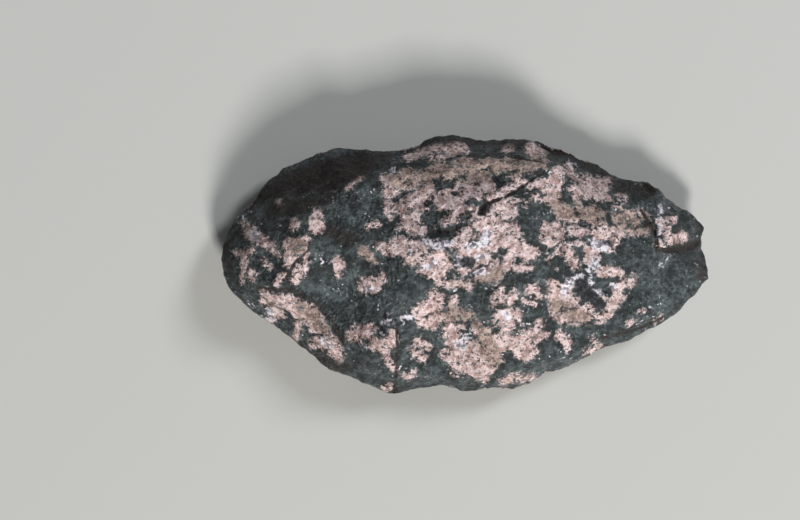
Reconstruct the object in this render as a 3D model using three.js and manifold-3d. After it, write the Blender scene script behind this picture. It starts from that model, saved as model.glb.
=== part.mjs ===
// A large stone flake tool: one almond-shaped flake of coarse, mottled rock, lying on its smooth flake face.
// The blank is turned as a lens and drawn out to the tool's outline. Flakes are then struck off it one by
// one, each leaving a spoon-shaped scar, in the order in which a knapper would strike them.
// Millimetres. +X runs from the butt to the point, +Y across and +Z up. The origin is on the ground under
// the middle of the stone.

import * as THREE from 'three';
import { mergeVertices } from 'three/addons/utils/BufferGeometryUtils.js';
import Module from 'manifold-3d';

const wasm = await Module();
wasm.setup();

// Driving dimensions of the blank
const length = 132;
const width = 70.5;
const crown = 19.5;
const belly = 8;
const seatCut = 0.45;

// The edge winds up and down round its middle plane by this much, in a long and a short wave
const edgeSwing = 1.1;
const edgeWaves = [
  { waves: 3, start: 0.7, weight: 0.6 },
  { waves: 7, start: 2.1, weight: 0.4 },
];

// The swelling that the blow left on the flake face, inwards from the butt. It dies out towards the edge,
// faster with a higher exponent.
const bulbSwell = 1.8;
const bulbRadius = 15;
const bulbInset = 17;
const bulbFading = 4;

// How the blank's two faces are rounded, as exponents and shares. Towards the middle its rings calm down
// from the wavy outline to an ellipse.
const crownFullness = 3.2;
const crownShoulder = 0.85;
const bellyFullness = 2;
const bellyShoulder = 0.9;
const buttThickening = 0.2;
const calming = 4;

// The small flakes along the edge: how far apart they sit, the reach and depth of their scars, the radius
// that hollows them across, and the seed of their wandering. Each starts this high above the edge.
const edgeRetouch = { pitch: 8, reach: 3.2, depth: 0.4, curve: 18, seed: 22 };
const undersideRetouch = { pitch: 13, reach: 6.5, depth: 0.35, curve: 45, seed: 23 };
const retouchRise = 0.5;

// How far the retouch flakes wander from those sizes: the spacing as a share of the pitch, the aim in
// degrees to both sides, and the size and the hollowing as factors
const spacingWander = 0.8;
const aimWander = 20;
const sizeWander = [0.6, 1.35];
const curveWander = [0.6, 1.8];

// The blunt nose beside the point was left as it broke. These shares of the outline bound it.
const noseStart = 0.495;
const noseEnd = 0.575;

// How finely the forms are faceted
const edgeSteps = 96;
const ringsPerFace = 6;
const scarSides = 16;
const retouchSides = 10;

// Rings of a bowl, as shares of its unit reach. Those past the reach carry the bowl on above its rim.
const bowlRings = [0, 0.6, 1, 1.6, 2.6];

// A cutter reaches this far above the bowl that it cuts, and a block that stops it is this long
const clearance = 14;
const stopBlock = 3 * length;

// A bowl lies deepest at this share of the way from the edge to the end of its scar
const deepest = 0.36;

// The outline as shares of half the length and half the width, anticlockwise from the butt.
const outlineShares = [
  [-1.0, 0.008], [-0.965, -0.169], [-0.908, -0.283], [-0.847, -0.391], [-0.736, -0.529],
  [-0.642, -0.682], [-0.552, -0.812], [-0.462, -0.866], [-0.38, -0.934], [-0.295, -1.0],
  [-0.217, -0.961], [-0.065, -0.934], [-0.008, -0.973], [0.143, -0.946], [0.254, -0.904],
  [0.327, -0.846], [0.434, -0.766], [0.556, -0.655], [0.716, -0.532], [0.83, -0.414],
  [0.92, -0.268], [0.994, -0.092], [1.0, -0.031], [0.965, 0.146], [0.97, 0.306],
  [0.9, 0.414], [0.826, 0.502], [0.757, 0.628], [0.642, 0.67], [0.528, 0.781],
  [0.397, 0.889], [0.258, 0.957], [0.102, 0.969], [-0.061, 1.0], [-0.168, 0.95],
  [-0.25, 0.877], [-0.389, 0.896], [-0.573, 0.862], [-0.753, 0.728], [-0.88, 0.498],
  [-0.965, 0.291],
];

// Flakes struck off the worked face. at is the struck point on the edge, as shares of half the length and
// half the width, and aim the way the flake ran, in degrees anticlockwise from +X. The other values are
// millimetres: reach and depth of the scar, the radius that hollows it across, and the rise of its start
// above the edge where later flakes have cut it back. A flake that snapped short has snap, the distance at
// which it broke. One that ran along a flaw of the rock has flaw, how far the flaw lies left of its middle.
const workedFace = [
  { at: [-1.0, 0.008], aim: -3, reach: 62, depth: 0.9, curve: 90, rise: 13.5 },
  { at: [1.0, -0.031], aim: 174, reach: 66, depth: 0.9, curve: 70, rise: 7 },
  { at: [-0.008, -0.973], aim: 97, reach: 40, depth: 0.8, curve: 60, rise: 12.5 },
  { at: [-0.573, 0.866], aim: -71, reach: 27, depth: 0.5, curve: 80, rise: 12 },
  { at: [-0.266, 0.873], aim: -74, reach: 27, depth: 0.6, curve: 60, rise: 10.5 },
  { at: [0.09, 0.968], aim: -61, reach: 25, depth: 1.0, curve: 45, rise: 10, snap: 15.3 },
  { at: [0.307, 0.95], aim: -71, reach: 20, depth: 0.5, curve: 50, rise: 10 },
  { at: [0.552, 0.758], aim: -101, reach: 20, depth: 0.6, curve: 45, rise: 8 },
  { at: [0.552, -0.651], aim: 119, reach: 24, depth: 0.7, curve: 50, rise: 6 },
  { at: [0.184, -0.927], aim: 107, reach: 22, depth: 0.7, curve: 45, rise: 8 },
  { at: [-0.115, -0.95], aim: 88, reach: 24, depth: 0.9, curve: 40, rise: 8, flaw: 10.5 },
  { at: [-0.675, -0.62], aim: 42, reach: 30, depth: 1.2, curve: 35, rise: 8 },
  { at: [-0.998, 0.077], aim: -6, reach: 20, depth: 0.7, curve: 40, rise: 6 },
  { at: [0.92, -0.268], aim: 152, reach: 24, depth: 0.8, curve: 45, rise: 2.5 },
  { at: [0.716, 0.65], aim: -78, reach: 18, depth: 0.7, curve: 16, rise: 5, flaw: 4 },
  { at: [-0.675, 0.789], aim: -66, reach: 13, depth: 0.5, curve: 60, rise: 0.5 },
  { at: [-0.88, 0.498], aim: -45, reach: 9, depth: 0.4, curve: 40, rise: 0.5 },
  { at: [-0.389, 0.896], aim: -80, reach: 9.5, depth: 0.4, curve: 50, rise: 0.5 },
  { at: [-0.83, -0.421], aim: 49, reach: 8.6, depth: 0.4, curve: 30, rise: 0.4 },
  { at: [-0.683, -0.62], aim: 54, reach: 9.3, depth: 0.4, curve: 30, rise: 0.4 },
  { at: [-0.552, -0.812], aim: 64, reach: 9.3, depth: 0.4, curve: 30, rise: 0.4 },
  { at: [-0.061, 1.0], aim: -90, reach: 4.5, depth: 0.3, curve: 40, rise: 0.3 },
  { at: [0.102, 0.969], aim: -90, reach: 5, depth: 0.3, curve: 40, rise: 0.3 },
  { at: [0.655, 0.666], aim: -105, reach: 7.5, depth: 0.5, curve: 40, rise: 0.4 },
  { at: [0.372, 0.904], aim: -100, reach: 4.5, depth: 0.6, curve: 6, rise: 0 },
  { at: [1.0, -0.031], aim: 172, reach: 15, depth: 1.1, curve: 20, rise: 0.8, flaw: -4.8 },
];

// Thinning flakes struck off the flake face, from the edge inwards. The first is the small one that springs
// off the bulb with the blow itself.
const flakeFace = [
  { at: [-1.0, 0.008], aim: -12, reach: 19, depth: 0.5, curve: 12, rise: 2.5 },
  { at: [-0.88, 0.498], aim: -35, reach: 24, depth: 0.5, curve: 60, rise: 0 },
  { at: [0.397, 0.889], aim: -110, reach: 15, depth: 0.4, curve: 50, rise: 0 },
  { at: [0.556, -0.655], aim: 120, reach: 14, depth: 0.4, curve: 50, rise: 0 },
  { at: [-0.552, -0.812], aim: 70, reach: 16, depth: 0.5, curve: 50, rise: 0 },
];

// Small steps

const upright = new THREE.Vector3(0, 0, 1);
const onPlan = ([along, across]) => new THREE.Vector3((along * length) / 2, (across * width) / 2, 0);
const outline = new THREE.CatmullRomCurve3(outlineShares.map(onPlan), true, 'centripetal');

// A closed three.js geometry as a solid. Only its places count, and faces that a pole pinches shut go.
function solid(geometry) {
  const bare = new THREE.BufferGeometry();
  bare.setAttribute('position', geometry.getAttribute('position'));
  bare.setIndex(geometry.index);
  const merged = mergeVertices(bare, 1e-4);
  const corners = merged.index.array;
  const triVerts = [];
  for (let i = 0; i < corners.length; i += 3) {
    const [a, b, c] = [corners[i], corners[i + 1], corners[i + 2]];
    if (a !== b && b !== c && c !== a) triVerts.push(a, b, c);
  }
  const vertProperties = merged.getAttribute('position').array;
  return new wasm.Manifold(
    new wasm.Mesh({ numProp: 3, vertProperties, triVerts: new Uint32Array(triVerts) }),
  );
}

// A solid as a three.js geometry.
function geometryOf(made) {
  const { vertProperties, triVerts } = made.getMesh();
  const geometry = new THREE.BufferGeometry();
  geometry.setAttribute('position', new THREE.BufferAttribute(vertProperties, 3));
  geometry.setIndex(new THREE.BufferAttribute(triVerts, 1));
  return geometry;
}

// How high the sinuous edge runs above or below its middle plane, share going once round the outline.
function edgeHeight(share) {
  const turn = 2 * Math.PI * share;
  const heightOf = ({ waves, start, weight }) => weight * Math.sin(waves * turn + start);
  return edgeSwing * edgeWaves.reduce((height, wave) => height + heightOf(wave), 0);
}

// The struck blank

function blank() {
  const profile = [];
  const reachOf = (ring) => Math.sin((Math.PI / 2) * (ring / ringsPerFace));
  for (let ring = 0; ring <= ringsPerFace; ring++) {
    const reach = reachOf(ring);
    profile.push(new THREE.Vector2(reach, -belly * (1 - reach ** bellyFullness) ** bellyShoulder));
  }
  for (let ring = ringsPerFace - 1; ring >= 0; ring--) {
    const reach = reachOf(ring);
    profile.push(new THREE.Vector2(reach, crown * (1 - reach ** crownFullness) ** crownShoulder));
  }
  const lens = new THREE.LatheGeometry(profile, edgeSteps);
  const places = lens.getAttribute('position');
  for (let i = 0; i < places.count; i++) {
    const share = (Math.floor(i / profile.length) % edgeSteps) / edgeSteps;
    const { x: reach, y: height } = profile[i % profile.length];
    const edge = outline.getPointAt(share);
    const roundness = Math.hypot(edge.x / (length / 2), edge.y / (width / 2));
    const drawn = reach * THREE.MathUtils.lerp(1 / roundness, 1, reach ** calming);
    const [x, y] = [edge.x * drawn, edge.y * drawn];
    const thickening = 1 - (buttThickening * x) / (length / 2);
    const fromBulb = Math.hypot(x + length / 2 - bulbInset, y) / bulbRadius;
    const bulb = bulbSwell * Math.exp(-(fromBulb ** 2)) * (1 - reach ** bulbFading);
    const swelling = height < 0 ? bulb : 0;
    places.setXYZ(i, x, y, height * thickening - swelling + edgeHeight(share) * reach);
  }
  return solid(lens);
}

// Knapping

// The height of a stone's skin over a point of the plan, on the worked face (side 1) or the flake face (-1).
function skinFinder(stone, side) {
  const skin = new THREE.Mesh(geometryOf(stone), new THREE.MeshBasicMaterial({ side: THREE.DoubleSide }));
  const far = 2 * (crown + belly) * side;
  return (x, y) => {
    const ray = new THREE.Raycaster(new THREE.Vector3(x, y, far), new THREE.Vector3(0, 0, -side));
    const [hit] = ray.intersectObject(skin);
    return new THREE.Vector3(x, y, hit ? hit.point.z : 0);
  };
}

// The point of the sinuous edge nearest to a place on the plan.
function edgeNear(place) {
  const searchSteps = 4 * edgeSteps;
  let best = null;
  for (let step = 0; step < searchSteps; step++) {
    const share = step / searchSteps;
    const point = outline.getPointAt(share);
    const distance = point.distanceTo(place);
    if (!best || distance < best.distance) best = { point, distance, share };
  }
  return best.point.setZ(edgeHeight(best.share));
}

// A bowl of unit reach and breadth whose rim lies at zero, filled up to the clearance.
function bowl(depth, sides) {
  const widest = Math.sqrt(1 + clearance / depth);
  const reaches = bowlRings.filter((reach) => reach < widest);
  const profile = [...reaches, widest].map((reach) => new THREE.Vector2(reach, depth * (reach ** 2 - 1)));
  profile.push(new THREE.Vector2(0, clearance));
  return new THREE.LatheGeometry(profile, sides).rotateX(Math.PI / 2);
}

// What one struck flake takes away: a spoon along the chord from the edge to the skin.
function scar(find, side, sides, { at, aim, reach, depth, curve, rise, snap, flaw }) {
  const way = new THREE.Vector3(1, 0, 0).applyAxisAngle(upright, THREE.MathUtils.degToRad(aim));
  const edge = edgeNear(onPlan(at));
  const start = edge.clone().addScaledVector(upright, side * rise);
  const end = find(start.x + way.x * reach, start.y + way.y * reach);
  const along = end.clone().sub(start).normalize();
  const across = upright.clone().multiplyScalar(side).cross(way);
  const outward = along.clone().cross(across).normalize();
  const chord = start.distanceTo(end);
  const turned = new THREE.Matrix4().makeBasis(along, across, outward);
  const place = turned
    .clone()
    .setPosition(start.clone().lerp(end, deepest))
    .scale(new THREE.Vector3(chord * (1 - deepest), Math.sqrt(2 * curve * depth), 1));
  const cutter = solid(bowl(depth, sides).applyMatrix4(place));
  const stop = (x, y) => {
    const block = new THREE.BoxGeometry(stopBlock, stopBlock, stopBlock).translate(x, y, 0);
    return solid(block.applyMatrix4(turned.clone().setPosition(edge)));
  };
  const ended = snap ? cutter.subtract(stop(snap + stopBlock / 2, 0)) : cutter;
  return flaw ? ended.subtract(stop(0, flaw + (Math.sign(flaw) * stopBlock) / 2)) : ended;
}

function knap(stone, side, sides, flakes) {
  return flakes.reduce((left, flake) => {
    return left.subtract(scar(skinFinder(left, side), side, sides, flake));
  }, stone);
}

// Small flakes all round the edge. Their sizes and spacing wander, from a fixed seed.
function retouch({ seed, pitch, reach, curve, depth }) {
  THREE.MathUtils.seededRandom(seed);
  const wander = ([least, most]) => least + (most - least) * THREE.MathUtils.seededRandom();
  const count = Math.round(outline.getLength() / pitch);
  const shareOf = (unused, number) => (number + wander([0, spacingWander])) / count;
  const shares = Array.from({ length: count }, shareOf);
  const worked = shares.filter((share) => share < noseStart || share > noseEnd);
  return worked.map((share) => {
    const point = outline.getPointAt(share);
    const inward = outline.getTangentAt(share).cross(upright).negate();
    const straight = THREE.MathUtils.radToDeg(Math.atan2(inward.y, inward.x));
    const aim = straight + wander([-aimWander, aimWander]);
    const size = wander(sizeWander);
    const hollow = curve * wander(curveWander);
    const at = [(2 * point.x) / length, (2 * point.y) / width];
    return { at, aim, reach: reach * size, depth: depth * size, curve: hollow, rise: retouchRise };
  });
}

// All flakes of one run of retouch, measured on the stone as it was before the run.
function trim(stone, side, flakes) {
  const find = skinFinder(stone, side);
  return flakes.reduce((left, flake) => left.subtract(scar(find, side, retouchSides, flake)), stone);
}

// The finished tool

// The largest body of a solid: crumbs that a cut frees fall away.
function mainBody(made) {
  return made.decompose().reduce((most, one) => (one.volume() > most.volume() ? one : most));
}

function stoneFlake() {
  let stone = blank();
  stone = knap(stone, 1, scarSides, workedFace);
  stone = knap(stone, -1, scarSides, flakeFace);
  stone = trim(stone, 1, retouch(edgeRetouch));
  stone = trim(stone, -1, retouch(undersideRetouch));

  // The high spots of the flake face are worn level, so that the stone lies still.
  const lowest = stone.boundingBox().min[2];
  const ground = new THREE.BoxGeometry(2 * length, 2 * width, stopBlock);
  ground.translate(0, 0, lowest + seatCut - stopBlock / 2);
  stone = mainBody(stone.subtract(solid(ground)));

  const geometry = geometryOf(stone);
  geometry.computeBoundingBox();
  const middle = geometry.boundingBox.getCenter(new THREE.Vector3());
  geometry.translate(-middle.x, -middle.y, -geometry.boundingBox.min.z);
  geometry.computeVertexNormals();
  return geometry;
}

// The mean colour of the mottled rock, between its dark green ground and its pink crystals
const rockColour = 0x6c6461;
const rock = new THREE.MeshStandardMaterial({ color: rockColour, roughness: 0.72, metalness: 0 });
rock.flatShading = true;

const flakeTool = new THREE.Mesh(stoneFlake(), rock);
flakeTool.name = 'stone_flake';

const part = new THREE.Group();
part.add(flakeTool);

export default part;
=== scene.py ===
"""The looks of a large stone flake tool, around its CAD solid.

The solid is remeshed finely and its facets are eased. The broken rock's roughness, cracks and creases are
worked into the mesh. The crystal patches of the worked face are listed strokes, and those of the
sides and the flake face are noise. They reach the material as attributes of the mesh.
"""

import math

import bmesh
import bpy
import numpy as np
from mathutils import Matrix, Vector, noise


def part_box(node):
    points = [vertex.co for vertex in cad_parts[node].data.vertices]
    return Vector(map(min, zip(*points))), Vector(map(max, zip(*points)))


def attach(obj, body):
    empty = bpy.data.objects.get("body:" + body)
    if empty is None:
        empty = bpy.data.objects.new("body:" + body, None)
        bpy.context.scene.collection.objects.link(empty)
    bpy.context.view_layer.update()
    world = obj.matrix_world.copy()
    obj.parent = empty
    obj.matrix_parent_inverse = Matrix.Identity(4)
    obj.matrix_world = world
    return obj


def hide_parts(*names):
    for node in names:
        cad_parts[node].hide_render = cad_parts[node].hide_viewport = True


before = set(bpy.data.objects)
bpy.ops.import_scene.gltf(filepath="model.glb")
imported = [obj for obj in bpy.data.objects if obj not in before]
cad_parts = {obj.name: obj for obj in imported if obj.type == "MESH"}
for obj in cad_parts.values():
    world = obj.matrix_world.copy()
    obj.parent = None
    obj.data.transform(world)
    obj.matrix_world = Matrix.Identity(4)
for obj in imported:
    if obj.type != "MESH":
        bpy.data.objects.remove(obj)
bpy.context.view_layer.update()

MM = 0.001
NODE = "stone_flake"

# The photograph's frame. A pixel is this wide at the height of the stone's edge.
PIXEL = 0.27 * MM
PHOTO_SIZE = (800, 520)
STONE_MIDDLE = (465, 265)
EDGE_RISE = 7.5 * MM
CAMERA_RISE = 600 * MM
SENSOR = 36

# The fine mesh: its pitch, how near two points are one, and how its facets are eased
GRAIN = 0.47 * MM
SAME_POINT = 0.001 * MM
EASE_ANGLE = math.radians(17)
EASE_ROUNDS = 60
FOLLOW_ROUNDS = 30
TINY = 1e-9

# How much weaker and how much finer each layer of a noise is than the one before
NOISE_FALL = 1.0
NOISE_STEP = 2.0

# Roughness of the broken rock: size of the bumps, their height, their layers, and where the noise starts
ROUGHNESS_LAYERS = [
    (16 * MM, 0.35 * MM, 1, 50.0),
    (5.5 * MM, 0.46 * MM, 2, 51.0),
    (1.9 * MM, 0.32 * MM, 2, 52.0),
]

# The pale crystals stand a little proud, over this range of their field
CRYSTAL_RISE = 0.16 * MM
CRYSTAL_RIM = (-1.5, 1.5)

# A crease wavers and fades along its way. Size, layers and start of each noise come first.
WAVER = (1.3 * MM, 2, 67.0)
WAVER_REACH = 1.8
FADE = (2.5 * MM, 2, 61.0)
FADE_RANGE = (-0.5, 0.1)
FAINTEST = 0.6
CREASE_RIM = (-1.4, 1.0)

# A field says how many pixels inside a patch a point lies, up to a limit
FIELD_LIMIT = 8
PINK_SPREAD = 0.6
HOLE_RIM = 1.5

# How far a surface turns upwards, from where the worked face begins to where it is all worked face
WORKED_FACE = (-0.1, 0.15)

# Patches made of noise: size of the bumps, their layers, where the noise starts, the level above which a
# patch shows, and how steep its rim is
MOTTLE = (2.6 * MM, 3, 7.0, 0.09, 13)
BEHIND = {
    "pale": (13 * MM, 3, 4.0, 0.02, 9),
    "light": (9 * MM, 2, 11.0, 0.45, 9),
    "tan": (25 * MM, 2, 23.0, 0.2, 12),
    "black": (8 * MM, 2, 31.0, 0.6, 9),
}

# The mottling is drawn out along the stone
FOLIATION = np.array([0.72, 1.0, 1.0])

# Strokes on the worked face: points of the photograph, each with the stroke's half width there, in pixels.
# The pink crystals come first.
PINK = {
    "butt_arch": [(243, 222, 2.5), (250, 232, 6.5), (262, 240, 5), (272, 248, 3), (280, 256, 1.5)],
    "butt_hook": [(234, 252, 2.5), (243, 254, 4), (251, 251, 3)],
    "butt_bar": [(244, 258, 3), (243, 280, 2.5)],
    "butt_dot": [(252, 272, 4), (253, 279, 2)],
    "butt_fleck": [(277, 281, 3), (284, 276, 3)],
    "butt_mottle": [(264, 263, 2.5), (270, 266, 2)],
    "leaf": [(288, 244, 6), (298, 246, 8), (306, 240, 4)],
    "leaf_tip": [(292, 256, 8), (288, 266, 3)],
    "leaf_blade": [(298, 268, 4.5), (294, 282, 3.5)],
    "leaf_sliver": [(306, 254, 3), (305, 272, 2)],
    "dull_spot": [(294, 224, 5), (292, 229, 3)],
    "upper_tooth": [(316, 207, 3), (317, 216, 5), (317, 226, 8)],
    "flank_dot": [(279, 203, 3.5), (283, 209, 2)],
    "flank_streak": [(347, 188, 1.5), (353, 182, 2), (359, 176, 4)],
    "flank_thread": [(334, 190, 1.5), (338, 186, 1.5)],
    "oval": [(339, 263, 6), (338, 274, 3)],
    "bright_bean": [(366, 285, 7), (374, 285, 7.5)],
    "bean_tail": [(383, 278, 3.5), (382, 273, 2)],
    "brown_hook": [(363, 250, 4), (373, 262, 3)],
    "small_bar": [(370, 228, 3.5), (378, 224, 3)],
    "band_start": [(264, 291, 3.5), (276, 296, 3), (290, 300, 5)],
    "band_body": [(296, 302, 5), (308, 311, 9), (318, 322, 7), (326, 331, 3)],
    "band_spots": [(270, 304, 4), (280, 310, 4), (272, 318, 4)],
    "band_tooth": [(298, 325, 3), (297, 336, 3)],
    "band_low": [(316, 344, 5), (330, 342, 6)],
    "band_end": [(336, 350, 5), (339, 360, 4)],
    "low_left": [(350, 336, 4), (360, 331, 6), (370, 330, 6)],
    "low_left_leg": [(372, 340, 3), (384, 347, 6), (392, 341, 5), (393, 332, 3)],
    "low_streak": [(387, 358, 2.5), (395, 371, 3)],
    "low_corner": [(388, 388, 4)],
    "ring_top": [(413, 348, 3), (418, 342, 3), (428, 347, 3)],
    "ring_foot": [(417, 353, 4), (424, 357, 4.5)],
    "low_dot": [(406, 376, 3), (413, 374, 3)],
    "lobe_a": [(420, 312, 4), (432, 306, 8), (442, 300, 3)],
    "lobe_b": [(422, 322, 4), (432, 322, 7)],
    "lobe_c": [(432, 292, 4), (438, 296, 3)],
    "lobe_d": [(455, 298, 3), (450, 306, 3)],
    "lower_a": [(444, 316, 5), (456, 314, 5), (468, 314, 4)],
    "lower_b": [(450, 330, 6), (456, 336, 5)],
    "lower_c": [(453, 344, 5), (462, 350, 9), (474, 346, 6)],
    "lower_d": [(456, 364, 7), (470, 366, 10), (478, 374, 5)],
    "lower_e": [(478, 328, 6), (489, 340, 7), (498, 358, 5)],
    "lower_f": [(482, 352, 7), (488, 366, 8)],
    "lower_g": [(484, 378, 4), (474, 356, 4)],
    "foot_a": [(503, 381, 3), (512, 378, 3)],
    "foot_b": [(518, 377, 2.5), (532, 377, 2.5)],
    "centre_a": [(424, 262, 6), (430, 262, 7)],
    "centre_b": [(432, 272, 6), (440, 272, 7)],
    "centre_c": [(440, 256, 7), (447, 264, 5)],
    "centre_d": [(440, 282, 4), (454, 284, 3)],
    "centre_e": [(406, 252, 4), (409, 262, 3)],
    "centre_f": [(380, 246, 4), (392, 250, 6), (402, 242, 6)],
    "centre_g": [(414, 244, 4), (424, 248, 4)],
    "centre_h": [(462, 240, 5), (468, 234, 5)],
    "centre_i": [(474, 250, 6), (484, 258, 7)],
    "centre_j": [(480, 274, 7), (492, 276, 9), (497, 264, 5)],
    "centre_k": [(462, 284, 4), (470, 286, 3)],
    "heart_a": [(486, 216, 6), (500, 210, 7), (510, 210, 7)],
    "heart_b": [(498, 226, 11), (510, 232, 10)],
    "heart_c": [(480, 224, 6), (498, 242, 8)],
    "heart_d": [(512, 244, 6), (522, 252, 7), (534, 252, 6)],
    "shoulder_a": [(407, 218, 6), (414, 226, 9), (422, 230, 5)],
    "shoulder_b": [(400, 210, 4), (410, 200, 6), (424, 196, 6)],
    "shoulder_c": [(440, 200, 6), (456, 204, 8), (462, 210, 5)],
    "shoulder_d": [(444, 222, 3), (456, 216, 5)],
    "shoulder_e": [(388, 192, 5), (402, 186, 6)],
    "shoulder_f": [(384, 178, 4), (396, 178, 4)],
    "shoulder_g": [(386, 204, 3), (388, 212, 3)],
    "upper_a": [(408, 174, 4), (424, 178, 6), (440, 168, 6)],
    "upper_b": [(448, 172, 7), (462, 166, 7), (476, 166, 6)],
    "upper_c": [(458, 186, 5), (474, 190, 6), (490, 186, 5)],
    "upper_d": [(474, 178, 7), (484, 176, 6)],
    "upper_e": [(490, 198, 4), (502, 192, 4), (514, 186, 3)],
    "upper_f": [(496, 168, 5), (512, 164, 5), (522, 166, 5)],
    "upper_g": [(530, 168, 4), (542, 164, 4)],
    "upper_h": [(420, 188, 5), (430, 190, 4)],
    "crest_a": [(406, 157, 3), (418, 153, 4), (430, 149, 4), (440, 147, 4)],
    "crest_b": [(448, 151, 4), (456, 147, 5), (463, 149, 5)],
    "crest_c": [(432, 158, 2), (444, 157, 2)],
    "crest_d": [(507, 150, 4), (512, 147, 3)],
    "crest_e": [(530, 148, 5), (534, 154, 5), (542, 152, 5)],
    "right_a": [(540, 184, 6), (552, 188, 7), (558, 180, 5)],
    "right_b": [(556, 172, 5), (570, 168, 4), (574, 176, 4)],
    "right_c": [(584, 184, 6), (594, 184, 7), (606, 184, 6)],
    "right_d": [(592, 192, 6), (602, 196, 4)],
    "right_e": [(618, 196, 3), (624, 198, 3)],
    "right_f": [(554, 206, 6), (564, 212, 8), (572, 216, 6)],
    "right_g": [(584, 214, 5), (596, 212, 6), (592, 220, 4)],
    "right_h": [(546, 230, 6), (556, 236, 8), (558, 228, 5)],
    "right_i": [(574, 230, 5), (580, 232, 5)],
    "right_j": [(562, 248, 4), (570, 256, 5), (574, 264, 5)],
    "right_k": [(588, 262, 4), (596, 258, 4)],
    "right_l": [(504, 262, 5), (510, 258, 5)],
    "right_m": [(516, 268, 3), (530, 268, 3)],
    "right_n": [(612, 232, 5), (619, 232, 6), (614, 242, 4)],
    "right_o": [(616, 218, 4), (630, 216, 6), (636, 222, 3)],
    "right_p": [(640, 211, 3), (647, 218, 3)],
    "right_q": [(634, 232, 3), (643, 232, 4), (649, 228, 3)],
    "right_r": [(534, 196, 3), (528, 204, 3)],
    "knob_a": [(659, 222, 3), (664, 228, 5), (666, 232, 4)],
    "knob_b": [(667, 222, 3), (672, 220, 4)],
    "knob_c": [(671, 240, 4), (680, 236, 5), (685, 238, 3)],
    "knob_d": [(658, 243, 3), (661, 247, 3)],
    "ring_left": [(553, 284, 5), (554, 298, 6), (556, 310, 6)],
    "ring_low": [(560, 316, 6), (574, 316, 7), (586, 316, 5)],
    "ring_inner": [(566, 298, 5), (576, 308, 5)],
    "ring_upper": [(604, 270, 4), (616, 272, 4), (622, 276, 3)],
    "ring_right": [(616, 290, 5), (618, 298, 5), (610, 308, 4)],
    "ring_tail": [(600, 316, 3), (610, 314, 3)],
    "ring_dot": [(634, 278, 3), (630, 284, 3)],
    "south_a": [(496, 294, 4), (500, 290, 3)],
    "south_b": [(502, 300, 3), (494, 304, 3)],
    "south_c": [(504, 314, 6), (514, 316, 5), (506, 326, 7)],
    "south_d": [(504, 334, 5), (514, 342, 8), (524, 350, 8)],
    "south_e": [(524, 338, 7), (536, 334, 7), (545, 334, 4)],
    "south_f": [(528, 354, 5), (534, 352, 4)],
    "south_g": [(528, 290, 4), (534, 288, 4), (538, 296, 3)],
    "south_h": [(534, 304, 2), (522, 300, 2)],
    "south_i": [(560, 336, 5), (566, 342, 5), (568, 348, 3)],
    "south_j": [(538, 324, 3), (542, 322, 3)],
    "bevel_a": [(656, 321, 2), (661, 319, 2)],
    "bevel_b": [(592, 338, 1.5), (598, 346, 1.5)],
    "bevel_c": [(586, 352, 2), (600, 347, 2)],
    "specks_a": [(640, 311, 1.5), (644, 310, 1.5)],
    "specks_b": [(628, 324, 1.5), (634, 321, 1.5)],
}

# Dark rock between the pink crystals
HOLES = {
    "upper_a": [(440, 185, 5), (450, 184, 6)],
    "upper_b": [(496, 180, 5), (502, 176, 5), (510, 174, 3)],
    "upper_c": [(522, 178, 4), (530, 176, 5)],
    "upper_d": [(431, 202, 3.5)],
    "upper_e": [(428, 213, 4), (446, 214, 4)],
    "upper_f": [(462, 220, 4), (470, 216, 4)],
    "upper_g": [(438, 230, 4), (452, 228, 4)],
    "upper_h": [(398, 168, 2.5), (420, 164, 2), (446, 160, 2)],
    "upper_i": [(404, 192, 2), (424, 184, 2.5)],
    "upper_j": [(466, 198, 2.5), (484, 196, 2), (476, 204, 3)],
    "upper_k": [(456, 178, 1.5), (462, 180, 2)],
    "upper_l": [(546, 176, 2), (536, 174, 1.5)],
    "shoulder_cut": [(392, 222, 4), (396, 232, 4)],
    "low_left_hole": [(380, 328, 3), (386, 333, 3)],
    "south_hole": [(512, 334, 1.8)],
    "centre_cut": [(452, 248, 1.5), (456, 276, 3)],
    "right_cut": [(568, 222, 3), (586, 226, 4)],
    "right_step": [(602, 224, 3), (606, 214, 3)],
    "island_a": [(530, 206, 7), (548, 212, 7), (552, 218, 4)],
    "island_b": [(530, 222, 8), (534, 236, 8), (526, 240, 5)],
    "island_c": [(500, 250, 4), (501, 262, 4)],
    "island_d": [(556, 258, 5), (552, 270, 6), (540, 278, 6)],
    "island_e": [(582, 200, 4), (592, 204, 4)],
    "island_f": [(566, 186, 3), (560, 196, 3)],
    "island_g": [(604, 206, 4), (612, 204, 4)],
    "ring_middle": [(424, 349, 2)],
    "lower_cut": [(478, 338, 1.5), (484, 348, 1.5)],
    "spot": [(464, 262, 6), (470, 264, 6)],
    "crystal": [(580, 282, 6), (590, 294, 7), (601, 305, 6)],
}

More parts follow.
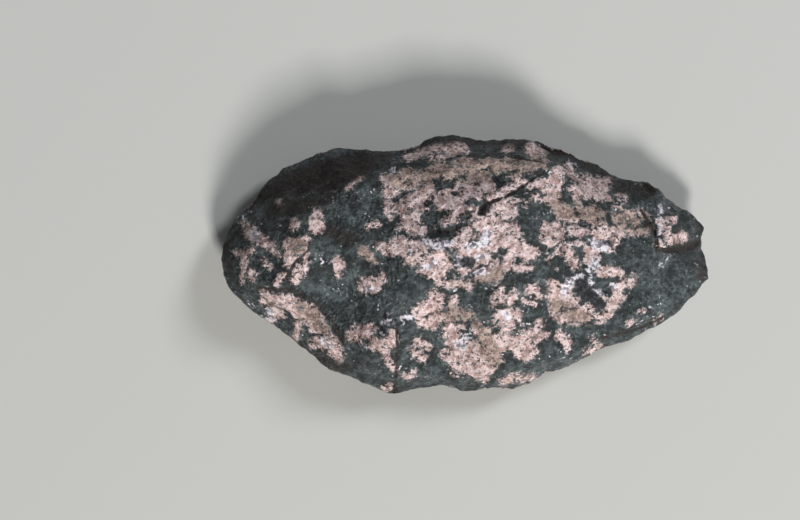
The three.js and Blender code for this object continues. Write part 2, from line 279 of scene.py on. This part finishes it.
# Where small pink and dark crystals lie so close that the rock is mottled all over
MOTTLED = {
    "upper": [(400, 188, 18), (440, 186, 28), (500, 182, 26), (540, 176, 16)],
    "shoulder": [(404, 216, 15), (440, 208, 20), (480, 212, 20)],
    "heart": [(420, 258, 16), (460, 262, 26), (496, 246, 28), (520, 252, 12)],
    "right": [(556, 190, 20), (600, 192, 16)],
    "right_low": [(560, 226, 24), (596, 220, 22), (630, 222, 14)],
    "bridge": [(560, 254, 14), (600, 254, 14)],
    "ring": [(560, 292, 14), (572, 312, 14), (600, 314, 8), (616, 290, 12), (606, 272, 9)],
    "lower": [(456, 326, 16), (466, 352, 26), (490, 350, 18)],
    "lobe": [(424, 314, 12), (444, 308, 12)],
    "south": [(506, 300, 14), (508, 326, 14), (524, 346, 14), (540, 334, 9)],
    "band": [(268, 300, 8), (290, 308, 11), (318, 332, 11), (334, 350, 8)],
    "butt": [(256, 236, 7)],
    "low_left": [(356, 332, 8), (384, 342, 12)],
    "crest": [(410, 156, 6), (462, 148, 7)],
    "knob": [(668, 228, 11), (682, 238, 5)],
}

# White and lavender crystals
LIGHT = {
    "white_bar": [(458, 257, 3), (460, 267, 3)],
    "white_floor": [(472, 274, 2.5), (484, 271, 4)],
    "white_side": [(478, 258, 3), (484, 256, 3)],
    "above_centre": [(426, 243, 3), (440, 246, 4), (452, 242, 3)],
    "glint": [(411, 250, 2)],
    "lavender_heart": [(486, 232, 5), (486, 240, 5)],
    "lavender_veil": [(480, 246, 4), (470, 246, 4)],
    "lavender_right": [(594, 242, 4), (602, 246, 6)],
    "lavender_bridge": [(596, 262, 5), (590, 270, 4)],
    "ring_arc": [(562, 292, 4), (568, 284, 4), (580, 277, 3.5)],
    "ring_gleam": [(590, 280, 1.8), (593, 290, 2), (604, 295, 2)],
    "ring_lobe": [(613, 287, 4)],
    "low_violet_a": [(383, 323, 2), (391, 321, 3)],
    "low_violet_b": [(403, 319, 3.5), (411, 316, 2.5)],
    "low_violet_c": [(388, 314, 2)],
    "band_violet_a": [(268, 309, 4), (272, 316, 4)],
    "band_violet_b": [(324, 340, 4), (330, 345, 3)],
    "butt_violet": [(254, 234, 4), (258, 240, 3)],
    "lower_white": [(460, 344, 6), (466, 338, 4)],
    "south_white": [(504, 312, 3), (508, 318, 3)],
    "bean_white": [(368, 290, 3), (372, 288, 3)],
    "centre_white": [(424, 268, 3), (436, 262, 3)],
    "crest_white": [(392, 170, 2.5), (400, 173, 2)],
    "upper_white": [(570, 163, 2.5), (576, 164, 2)],
    "knob_white": [(658, 206, 1.2), (659, 218, 1.5), (660, 240, 1)],
    "tip_streak": [(661, 265, 0), (668, 258, 0.8), (674, 253, 0)],
}

# Stained crystals
TAN = {
    "upper": [(398, 178, 10), (450, 172, 14), (540, 164, 10)],
    "band": [(300, 303, 7), (324, 328, 7)],
    "right": [(556, 208, 10), (604, 214, 9)],
    "right_end": [(618, 218, 10), (646, 226, 9)],
    "lower": [(448, 312, 8), (482, 322, 9)],
    "lower_right": [(484, 340, 11), (494, 360, 9)],
    "centre": [(484, 282, 9), (498, 272, 7)],
    "ring": [(556, 306, 9), (586, 318, 6)],
    "leaf": [(298, 246, 9)],
    "hook": [(364, 252, 6), (374, 262, 5)],
}

# Black crystals, and painted shade in the notch, along the step, in pits and the hollow, and on the steep
# flank, whose rock is dark too
BLACK = {
    "crystal": [(580, 283, 5), (589, 294, 5.5), (600, 304, 5)],
    "spot": [(464, 263, 4.5), (471, 262, 4.5)],
    "step_pit": [(484, 212, 4), (489, 206, 3)],
    "notch": [(545, 145, 3), (556, 150, 5), (566, 154, 2)],
    "low_left_hole": [(381, 328, 2), (386, 333, 2)],
    "flank_a": [(300, 190, 5), (330, 170, 9), (362, 158, 8)],
    "flank_b": [(322, 190, 4), (342, 182, 6), (362, 168, 6)],
    "flank_c": [(278, 190, 4), (300, 180, 5)],
    "hollow": [(645, 185, 3), (652, 189, 3)],
    "centre_pit": [(364, 264, 4), (376, 268, 3)],
}

# Painted shade: the darkness of steep faces, rims, the notch and the knob's foot, which turn away from the
# lamps, over rock that is partly dark too
SHADE = {
    "flank": [(246, 208, 4), (262, 194, 8), (290, 184, 13), (330, 174, 15), (362, 164, 11), (386, 156, 5)],
    "flank_low": [(272, 210, 6), (300, 206, 7), (330, 198, 6)],
    "butt_rim": [(230, 232, 3), (225, 250, 3), (229, 272, 3)],
    "crest_rim": [(420, 143, 4), (450, 139, 4), (520, 142, 6)],
    "notch": [(542, 146, 4), (556, 151, 6), (572, 157, 3)],
    "right_rim": [(584, 166, 4), (604, 172, 5)],
    "right_rim_low": [(616, 186, 6), (650, 190, 7)],
    "knob_rim": [(700, 226, 2), (700, 240, 3), (690, 246, 3), (672, 250, 3)],
    "tip": [(704, 260, 4), (702, 276, 4)],
    "low_edge": [(310, 356, 3), (345, 368, 5)],
    "middle": [(330, 232, 6), (350, 240, 6)],
}

# Cracks and creases: depth, then the stroke that it follows. Along them the colour is also darkened as
# painted shade; along the step it is a painted shadow.
CREASES = {
    "step": (0.7 * MM, [(545, 171, 0.8), (520, 188, 1), (500, 199, 1.2), (486, 204, 1.8), (480, 213, 2.2)]),
    "middle": (0.35 * MM, [(430, 231, 0.8), (448, 232, 1), (470, 223, 0.8)]),
    "butt_ridge": (0.35 * MM, [(260, 287, 1.2), (288, 290, 1.5), (310, 298, 1.3)]),
    "crack": (0.5 * MM, [(397, 326, 0.8), (397, 360, 1.2), (394, 394, 1.6)]),
    "leaf": (0.3 * MM, [(309, 250, 1), (296, 262, 1), (284, 281, 1.3)]),
    "knob_side": (0.9 * MM, [(640, 208, 1.2), (648, 220, 2), (655, 232, 2.4), (657, 246, 2)]),
    "knob_foot": (0.7 * MM, [(658, 248, 2), (674, 251, 1.7), (690, 248, 1.7), (701, 240, 1.3)]),
    "notch": (0.9 * MM, [(545, 146, 3), (558, 151, 4), (567, 154, 2)]),
    "band": (0.25 * MM, [(312, 299, 1), (334, 324, 1.2), (345, 346, 1)]),
    "crest": (0.35 * MM, [(446, 158, 0.5), (470, 155, 0.8), (500, 154, 0.8), (544, 164, 0.8)]),
    "hollow": (0.6 * MM, [(645, 185, 3), (652, 189, 3)]),
    "bevel": (0.3 * MM, [(600, 340, 1.2), (640, 328, 1.4), (662, 318, 1)]),
}


def pixels_of(places):
    """Where points of the stone lie in the photograph: one row of x and y for each."""
    nearer = CAMERA_RISE / (CAMERA_RISE - (places[:, 2] - EDGE_RISE))
    middle = np.array(PHOTO_SIZE) / 2
    away = middle - np.array(STONE_MIDDLE)
    eye = np.array([away[0], -away[1]]) * PIXEL
    offset = (places[:, :2] - eye) / PIXEL * nearer[:, None]
    return middle + offset * np.array([1, -1])


def stroke_field(pixels, stroke):
    """How far inside a stroke each pixel lies, below zero outside it. A stroke may be a single dot."""
    best = np.full(len(pixels), -float(FIELD_LIMIT))
    for start, end in zip(stroke, stroke[1:] or stroke):
        a, b = np.array(start[:2], float), np.array(end[:2], float)
        way = b - a
        share = np.clip((pixels - a) @ way / max(way @ way, TINY), 0, 1)
        distance = np.linalg.norm(pixels - (a + share[:, None] * way), axis=1)
        best = np.maximum(best, start[2] + share * (end[2] - start[2]) - distance)
    return best


def strokes_field(pixels, strokes):
    """How far inside the nearest of some strokes each pixel lies."""
    best = np.full(len(pixels), -float(FIELD_LIMIT))
    for stroke in strokes.values():
        best = np.maximum(best, stroke_field(pixels, stroke))
    return best


def noise_at(places, size, layers, start):
    """Layered noise at points, about -1 to 1, with bumps of a size."""
    scaled = (places / size + start).tolist()
    return np.array([noise.fractal(place, NOISE_FALL, NOISE_STEP, layers) for place in scaled])


def patch_noise(places, size, layers, start, level, steepness):
    """A field of patches that show where noise is above a level."""
    return steepness * (noise_at(places, size, layers, start) - level)


def ramp(values, low, high):
    """0 below low, 1 above high, and smooth between."""
    share = np.clip((values - low) / (high - low), 0, 1)
    return share * share * (3 - 2 * share)


def fine_mesh():
    """A finely remeshed copy of the CAD solid."""
    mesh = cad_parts[NODE].data.copy()
    made = bmesh.new()
    made.from_mesh(mesh)
    bmesh.ops.remove_doubles(made, verts=made.verts, dist=SAME_POINT)
    made.to_mesh(mesh)
    made.free()
    piece = bpy.data.objects.new("knapped_stone", mesh)
    bpy.context.scene.collection.objects.link(piece)
    remesh = piece.modifiers.new("fine", "REMESH")
    remesh.mode = "VOXEL"
    remesh.voxel_size = GRAIN
    bpy.context.view_layer.update()
    seen = piece.evaluated_get(bpy.context.evaluated_depsgraph_get())
    piece.data = bpy.data.meshes.new_from_object(seen)
    piece.modifiers.clear()
    piece.data.materials.clear()
    return piece


def read_mesh(mesh):
    """Places and faces of a mesh of four-sided faces."""
    places = np.zeros(len(mesh.vertices) * 3)
    mesh.vertices.foreach_get("co", places)
    corners = np.zeros(len(mesh.loops), int)
    mesh.loops.foreach_get("vertex_index", corners)
    return places.reshape(-1, 3), corners.reshape(-1, 4)


def face_normals(places, faces):
    """Each four-sided face's normal, from its two diagonals."""
    across = places[faces[:, 2]] - places[faces[:, 0]]
    other = places[faces[:, 3]] - places[faces[:, 1]]
    normals = np.cross(across, other)
    return normals / np.linalg.norm(normals, axis=1, keepdims=True)


def gather(count, targets, values):
    """The sum of the values that go to each target."""
    return np.stack([np.bincount(targets, values[:, k], count) for k in range(3)], axis=1)


def vertex_normals(places, faces):
    """Each point's normal: the mean of its faces' normals."""
    normals = face_normals(places, faces)
    total = gather(len(places), faces.ravel(), np.repeat(normals, 4, axis=0))
    return total / np.linalg.norm(total, axis=1, keepdims=True)


def ease_facets(places, faces):
    """Rounds the facets away and keeps the ridges: like normals are averaged, then the points follow."""
    edges = np.sort(np.concatenate([faces[:, [k, (k + 1) % 4]] for k in range(4)]), axis=1)
    owner = np.tile(np.arange(len(faces)), 4)
    order = np.lexsort((edges[:, 1], edges[:, 0]))
    pairs = owner[order].reshape(-1, 2)
    normals = face_normals(places, faces)
    narrowest = math.cos(EASE_ANGLE)
    both = np.concatenate([pairs[:, 0], pairs[:, 1]])
    for _ in range(EASE_ROUNDS):
        alike = (normals[pairs[:, 0]] * normals[pairs[:, 1]]).sum(axis=1)
        weight = np.exp(-((1 - alike) / (1 - narrowest)))[:, None]
        shared = np.concatenate([normals[pairs[:, 1]] * weight, normals[pairs[:, 0]] * weight])
        normals = normals + gather(len(faces), both, shared)
        normals /= np.linalg.norm(normals, axis=1, keepdims=True)
    touching = np.bincount(faces.ravel(), minlength=len(places))[:, None]
    for _ in range(FOLLOW_ROUNDS):
        centres = places[faces].mean(axis=1)
        reach = np.repeat(centres, 4, axis=0) - places[faces.ravel()]
        pull = np.repeat(normals, 4, axis=0)
        moves = pull * (reach * pull).sum(axis=1, keepdims=True)
        places = places + gather(len(places), faces.ravel(), moves) / touching
    return places


def behind_field(places, name):
    """A patch's field on the sides and the flake face: noise, or nowhere."""
    if name not in BEHIND:
        return -FIELD_LIMIT
    return np.clip(patch_noise(places, *BEHIND[name]), -FIELD_LIMIT, FIELD_LIMIT)


def patch_fields(places, pixels, front):
    """The fields of the patches and the painted shade by name: strokes on the worked face, and noise on the
    rest.
    """
    mottled = np.minimum(strokes_field(pixels, MOTTLED), patch_noise(places * FOLIATION, *MOTTLE))
    pink = np.maximum(strokes_field(pixels, PINK) + PINK_SPREAD, mottled)
    worked = {
        "pale": np.minimum(pink, HOLE_RIM - strokes_field(pixels, HOLES)),
        "light": strokes_field(pixels, LIGHT),
        "tan": strokes_field(pixels, TAN),
        "black": strokes_field(pixels, BLACK),
        # Painted shade of steep faces and rims, over rock that is partly dark
        "shade": strokes_field(pixels, SHADE),
    }
    return {name: front * field + (1 - front) * behind_field(places, name) for name, field in worked.items()}


def crease_cuts(places, pixels, front):
    """The depth of each crease, and how far every point lies in it, from 0 to 1."""
    waver = WAVER_REACH * noise_at(places, *WAVER)
    fade = FAINTEST + (1 - FAINTEST) * ramp(noise_at(places, *FADE), *FADE_RANGE)
    for depth, stroke in CREASES.values():
        yield depth, ramp(stroke_field(pixels, stroke) + waver, *CREASE_RIM) * front * fade


def work_stone(piece):
    """Eases the facets, roughens the rock, cuts its creases and gives it its pattern's attributes."""
    mesh = piece.data
    places, faces = read_mesh(mesh)
    places = ease_facets(places, faces)
    normals = vertex_normals(places, faces)
    pixels = pixels_of(places)
    front = ramp(normals[:, 2], *WORKED_FACE)
    fields = patch_fields(places, pixels, front)

    height = np.zeros(len(places))
    for size, rise, layers, start in ROUGHNESS_LAYERS:
        height += rise * noise_at(places, size, layers, start)
    height += CRYSTAL_RISE * ramp(fields["pale"], *CRYSTAL_RIM)
    # The crease field also carries painted shade into the material
    fields["crease"] = np.zeros(len(places))
    for depth, cut in crease_cuts(places, pixels, front):
        height -= depth * cut
        fields["crease"] = np.maximum(fields["crease"], cut)
    places = places + normals * height[:, None]

    low, high = (np.array(corner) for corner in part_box(NODE))
    places = np.clip(places, low, high)
    mesh.vertices.foreach_set("co", places.ravel())
    mesh.update()
    for name, values in fields.items():
        layer = mesh.attributes.new(name, "FLOAT", "POINT")
        layer.data.foreach_set("value", values.astype(np.float32))
    mesh.polygons.foreach_set("use_smooth", [True] * len(mesh.polygons))
    return piece


class Socket:
    """An output of a material's node. Python's operators on it add Math nodes."""

    def __init__(self, tree, output):
        self.tree = tree
        self.output = output

    def maths(self, operation, *values):
        """A Math node of some values."""
        return add_node(self.tree, "ShaderNodeMath", {"operation": operation}, dict(enumerate(values)))

    def __add__(self, other):
        return self.maths("ADD", self, other)

    def __sub__(self, other):
        return self.maths("SUBTRACT", self, other)

    def __rsub__(self, other):
        return self.maths("SUBTRACT", other, self)

    def __mul__(self, other):
        return self.maths("MULTIPLY", self, other)

    __radd__ = __add__
    __rmul__ = __mul__

    def between(self, low, high, start=0.0, end=1.0):
        """Runs smoothly from start to end as the value goes from low to high."""
        settings = {"interpolation_type": "SMOOTHSTEP"}
        values = {"Value": self, "From Min": low, "From Max": high, "To Min": start, "To Max": end}
        return add_node(self.tree, "ShaderNodeMapRange", settings, values)


def add_node(tree, kind, settings, values, output=0):
    """Adds a node with its settings and the values or links of its sockets, and gives one output."""
    made = tree.nodes.new(kind)
    for name, value in settings.items():
        setattr(made, name, value)
    for name, value in values.items():
        if isinstance(value, Socket):
            tree.links.new(value.output, made.inputs[name])
        else:
            made.inputs[name].default_value = value
    return Socket(tree, made.outputs[output])


def new_material(name):
    """A material with its node tree and its Principled shader."""
    material = bpy.data.materials.new(name)
    material.use_nodes = True
    return material, material.node_tree, material.node_tree.nodes["Principled BSDF"]


def mix(tree, share, first, second):
    """A colour between two colours. A Mix node's factor and colours are its sockets 0, 6 and 7."""
    values = {0: share, 6: first, 7: second}
    return add_node(tree, "ShaderNodeMix", {"data_type": "RGBA"}, values, 2)


# Colours of the dark rock, the pink crystals, the stained ones, the white ones, the black ones and the
# painted shade
DEEP_GREEN = (0.007, 0.012, 0.013, 1)
GREY_GREEN = (0.078, 0.098, 0.103, 1)
PALE_GREEN = (0.21, 0.24, 0.25, 1)
SALMON = (0.45, 0.29, 0.265, 1)
BLUSH = (0.84, 0.66, 0.655, 1)
ROSE_BROWN = (0.15, 0.10, 0.085, 1)
SAND = (0.34, 0.245, 0.175, 1)
MILK = (0.86, 0.80, 0.87, 1)
VIOLET_GREY = (0.22, 0.205, 0.25, 1)
JET = (0.006, 0.006, 0.008, 1)
SLATE = (0.06, 0.06, 0.075, 1)
# Painted shade, near black, over the partly dark rock of the steep flank, the rims and the creases
SHADE_AND_DARK_ROCK = (0.016, 0.010, 0.008, 1)

# Clouds of tone in the rock: size of the bumps, their finer layers, and where the noise starts
BROAD = (6 * MM, 2.0, 0.3)
COARSE = (2.4 * MM, 3.0, 0.0)
RAGGED = (0.9 * MM, 3.0, 0.7)
FINE = (0.35 * MM, 2.0, 1.9)
CLOUD_ROUGHNESS = 0.55

# Dark veins that run along the stone
STREAK_SIZE = 1.5 * MM
STREAK_TURN = (0, 0, -0.3)
STREAK_SQUEEZE = (0.4, 1, 1)
STREAK_LAYERS = 3.0
STREAK_ROUGHNESS = 0.6

# Crystal grains, and the bumps that they and the clouds make
GRAIN_SIZE = 0.8 * MM
SPECK_SIZE = 0.55 * MM
BUMP_RISE = 0.9 * MM

# How much of the rock under them the patches and the painted shade hide
TAN_COVER = 0.7
LIGHT_COVER = 0.95
BLACK_COVER = 0.93
SHADE_COVER = 0.88

# Roughness of a dull grain and of a glossy one
DULL = 0.62
GLOSSY = 0.32


def rock_material():
    """The rock: dark green ground with pink crystals, stained and whitened in places, with painted shade on
    steep faces, rims and creases.
    """
    material, tree, shader = new_material("mottled_rock")
    place = add_node(tree, "ShaderNodeTexCoord", {}, {}, "Object")

    def cloud(size, layers, start):
        """Noise with bumps of a size, centred on zero."""
        moved = add_node(tree, "ShaderNodeVectorMath", {"operation": "ADD"}, {0: place, 1: (start, start, 0)})
        values = {"Vector": moved, "Scale": 1 / size, "Detail": layers, "Roughness": CLOUD_ROUGHNESS}
        return add_node(tree, "ShaderNodeTexNoise", {}, values) - 0.5

    def grain(size, channel):
        """A random tone, 0 to 1, for each crystal grain of a size."""
        values = {"Vector": place, "Scale": 1 / size, "Randomness": 1.0}
        colours = add_node(tree, "ShaderNodeTexVoronoi", {}, values, "Color")
        return add_node(tree, "ShaderNodeSeparateColor", {}, {0: colours}, channel)

    def field(name):
        """One of the mesh's attributes."""
        return add_node(tree, "ShaderNodeAttribute", {"attribute_name": name}, {}, "Fac")

    broad = cloud(*BROAD)
    coarse = cloud(*COARSE)
    ragged = cloud(*RAGGED)
    fine = cloud(*FINE)
    turn = {"Vector": place, "Rotation": STREAK_TURN, "Scale": STREAK_SQUEEZE}
    turned = add_node(tree, "ShaderNodeMapping", {}, turn)
    streak_values = {
        "Vector": turned,
        "Scale": 1 / STREAK_SIZE,
        "Detail": STREAK_LAYERS,
        "Roughness": STREAK_ROUGHNESS,
    }
    streaks = add_node(tree, "ShaderNodeTexNoise", {}, streak_values) - 0.5
    tone = grain(GRAIN_SIZE, 0)
    speck = grain(SPECK_SIZE, 1)

    # The patches and the painted shade, with ragged rims
    pale = (field("pale") + 9 * coarse + 16 * ragged + 7 * fine).between(-1.8, 1.8)
    light = (field("light") + 8 * coarse + 14 * ragged).between(-1.2, 2.2)
    tan = (field("tan") + 10 * coarse).between(-3, 4)
    black = (field("black") + 6 * coarse + 9 * ragged).between(-1.5, 1.5)
    shade = (field("shade") + 10 * coarse + 10 * ragged).between(-6, 4)

    # The dark ground, flecked with paler grains and a few white ones
    greenness = 0.4 * tone + 2.4 * coarse + 1.8 * broad + 1.4 * ragged + 0.9 * fine
    flecks = (speck + 1.8 * ragged + 1.2 * broad).between(0.92, 1.35, 0.0, 0.8)
    glints = (speck - 1.6 * coarse + broad).between(1.12, 1.3, 0.0, 0.85)
    ground = mix(tree, greenness.between(-0.25, 0.95), DEEP_GREEN, GREY_GREEN)
    ground = mix(tree, flecks, ground, PALE_GREEN)
    ground = mix(tree, glints, ground, MILK)

    # The pink crystals, with brown between them, sandy where they are stained
    pinkness = (0.6 * tone + 1.8 * coarse + 1.8 * ragged).between(-0.1, 0.6)
    browns = (0.12 - 0.3 * tone + 2.4 * ragged + fine).between(0.0, 0.5, 0.0, 0.8)
    sandy = mix(tree, (tone + 1.5 * ragged).between(0.1, 0.9), ROSE_BROWN, SAND)
    crystal = mix(tree, pinkness, SALMON, BLUSH)
    crystal = mix(tree, browns, crystal, ROSE_BROWN)
    crystal = mix(tree, tan * TAN_COVER, crystal, sandy)

    # One over the other: ground, crystals, white and black grains with painted shade, hollows, painted shade
    # over partly dark rock, and painted shade in the creases
    veins = (2.6 * streaks + 2.4 * ragged + fine).between(0.2, 0.5, 0.0, 0.95)
    milky = mix(tree, (tone + 1.5 * ragged).between(0.15, 0.75), VIOLET_GREY, MILK)
    black_and_shade = mix(tree, (tone + 2 * ragged).between(0.4, 1.3), JET, SLATE)
    hollows = (-2.2 * broad - 2.0 * coarse - 1.4 * ragged).between(0.1, 1.0, 0.0, 0.75)
    # Painted shade in the cracks and creases, and the step's painted shadow
    creases = (field("crease") + 0.9 * ragged).between(0.12, 0.6, 0.0, 0.95)
    colour = mix(tree, pale * (1 - veins), ground, crystal)
    colour = mix(tree, light * LIGHT_COVER, colour, milky)
    # Black crystals, with painted shade in the notch, along the step, in pits and on the flank
    colour = mix(tree, black * BLACK_COVER, colour, black_and_shade)
    colour = mix(tree, hollows, colour, DEEP_GREEN)
    # Painted shade of steep faces and rims, over partly dark rock
    colour = mix(tree, shade * SHADE_COVER, colour, SHADE_AND_DARK_ROCK)
    colour = mix(tree, creases, colour, SHADE_AND_DARK_ROCK)

    roughness = (tone + 0.8 * fine).between(0.0, 1.0, DULL, GLOSSY) + 0.25 * black + 0.15 * shade
    height = 0.8 * ragged + 0.45 * fine + 0.12 * tone + 0.3 * coarse
    bump_values = {"Strength": 1.0, "Distance": BUMP_RISE, "Height": height}
    bump = add_node(tree, "ShaderNodeBump", {}, bump_values)
    tree.links.new(colour.output, shader.inputs["Base Color"])
    tree.links.new(roughness.output, shader.inputs["Roughness"])
    tree.links.new(bump.output, shader.inputs["Normal"])
    return material


# The floor, in metres, and where it begins and ends to run out into the background
FLOOR_COLOUR = (0.52, 0.52, 0.50, 1)
FLOOR_ROUGHNESS = 0.9
FLOOR_SIZE = 8
NEAR_FLOOR = 0.25
FAR_FLOOR = 1.1
FAR_COLOUR = (0.58, 0.58, 0.56, 1)

# The lamps: place, size, power and colour
LAMPS = {
    "front_lamp": ((0.64, -2.1, 1.45), 0.5, 78, (1, 0.985, 0.95)),
    "side_lamp": ((1.6, 1.1, 1.5), 0.6, 36, (0.93, 0.97, 1)),
}
SKY_COLOUR = (0.92, 0.96, 1, 1)
SKY_STRENGTH = 0.13


def floor_material():
    """A plain pale floor that runs out, far from the stone, into the colour of the background."""
    material, tree, shader = new_material("pale_floor")
    shader.inputs["Base Color"].default_value = FLOOR_COLOUR
    shader.inputs["Roughness"].default_value = FLOOR_ROUGHNESS
    place = add_node(tree, "ShaderNodeTexCoord", {}, {}, "Object")
    away = add_node(tree, "ShaderNodeVectorMath", {"operation": "LENGTH"}, {0: place}, "Value")
    seen = add_node(tree, "ShaderNodeLightPath", {}, {}, "Is Camera Ray")
    glow = add_node(tree, "ShaderNodeEmission", {}, {"Color": FAR_COLOUR})
    lit = Socket(tree, shader.outputs[0])
    share = away.between(NEAR_FLOOR, FAR_FLOOR) * seen
    either = add_node(tree, "ShaderNodeMixShader", {}, {0: share, 1: lit, 2: glow})
    tree.links.new(either.output, tree.nodes["Material Output"].inputs[0])
    return material


def make_floor():
    """The floor that the stone lies on."""
    made = bmesh.new()
    bmesh.ops.create_grid(made, x_segments=1, y_segments=1, size=FLOOR_SIZE / 2)
    mesh = bpy.data.meshes.new("floor")
    made.to_mesh(mesh)
    made.free()
    floor = bpy.data.objects.new("floor", mesh)
    bpy.context.scene.collection.objects.link(floor)
    mesh.materials.append(floor_material())


def make_camera():
    """Looks straight down, framed as the photograph is."""
    data = bpy.data.cameras.new("camera")
    data.sensor_width = SENSOR
    data.lens = SENSOR * CAMERA_RISE / (PHOTO_SIZE[0] * PIXEL)
    camera = bpy.data.objects.new("camera", data)
    bpy.context.scene.collection.objects.link(camera)
    across = (PHOTO_SIZE[0] / 2 - STONE_MIDDLE[0]) * PIXEL
    up = (STONE_MIDDLE[1] - PHOTO_SIZE[1] / 2) * PIXEL
    camera.location = (across, up, EDGE_RISE + CAMERA_RISE)
    bpy.context.scene.camera = camera


def add_lamp(name, place, size, power, colour):
    """A square lamp that points at the stone."""
    data = bpy.data.lights.new(name, "AREA")
    data.size = size
    data.energy = power
    data.color = colour
    lamp = bpy.data.objects.new(name, data)
    bpy.context.scene.collection.objects.link(lamp)
    lamp.location = place
    lamp.rotation_mode = "QUATERNION"
    lamp.rotation_quaternion = Vector(place).to_track_quat("Z", "Y")


def light_scene():
    """Two lamps and a dim sky, with a pale background for the camera."""
    for name, lamp in LAMPS.items():
        add_lamp(name, *lamp)
    world = bpy.data.worlds.new("studio")
    bpy.context.scene.world = world
    world.use_nodes = True
    tree = world.node_tree
    sky = tree.nodes["Background"]
    sky.inputs["Color"].default_value = SKY_COLOUR
    sky.inputs["Strength"].default_value = SKY_STRENGTH
    lit = Socket(tree, sky.outputs[0])
    seen = add_node(tree, "ShaderNodeLightPath", {}, {}, "Is Camera Ray")
    behind = add_node(tree, "ShaderNodeBackground", {}, {"Color": FAR_COLOUR})
    either = add_node(tree, "ShaderNodeMixShader", {}, {0: seen, 1: lit, 2: behind})
    tree.links.new(either.output, tree.nodes["World Output"].inputs[0])
    bpy.context.scene.view_settings.view_transform = "Standard"


make_camera()
stone = work_stone(fine_mesh())
stone.data.materials.append(rock_material())
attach(stone, "root")
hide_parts(NODE)
make_floor()
light_scene()
